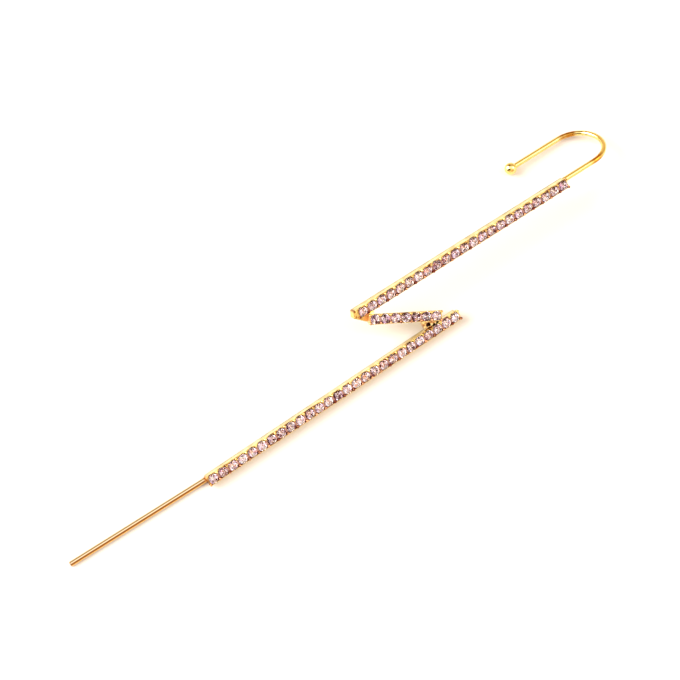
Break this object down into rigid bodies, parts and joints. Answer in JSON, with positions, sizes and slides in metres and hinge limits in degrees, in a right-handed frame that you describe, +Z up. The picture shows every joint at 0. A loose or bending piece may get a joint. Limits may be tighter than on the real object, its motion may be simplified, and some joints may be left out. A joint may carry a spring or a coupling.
{
  "type": "hook earring",
  "caption": "Hook earring: straight bars set with rows of small round stones join in a zigzag, with a straight lobe pin at one end and a round ear hook with a ball tip at the other.",
  "frame": {"origin": "middle of the part's bounding box on the surface that it lies on", "axes": "+X along the lower bar from the lobe pin to the ear hook, +Y from the lower bar to the hook's ball, +Z up from the surface"},
  "size_m": [0.077, 0.0126, 0.0047],
  "materials": {
    "gold": "polished yellow gold plating",
    "stone": "faceted, clear with a faint lilac tint"
  },
  "bodies": {
    "root": {"gold_frame": "gold", "stones_lower": "stone", "stones_middle": "stone", "stones_upper": "stone"}
  },
  "joints": []
}
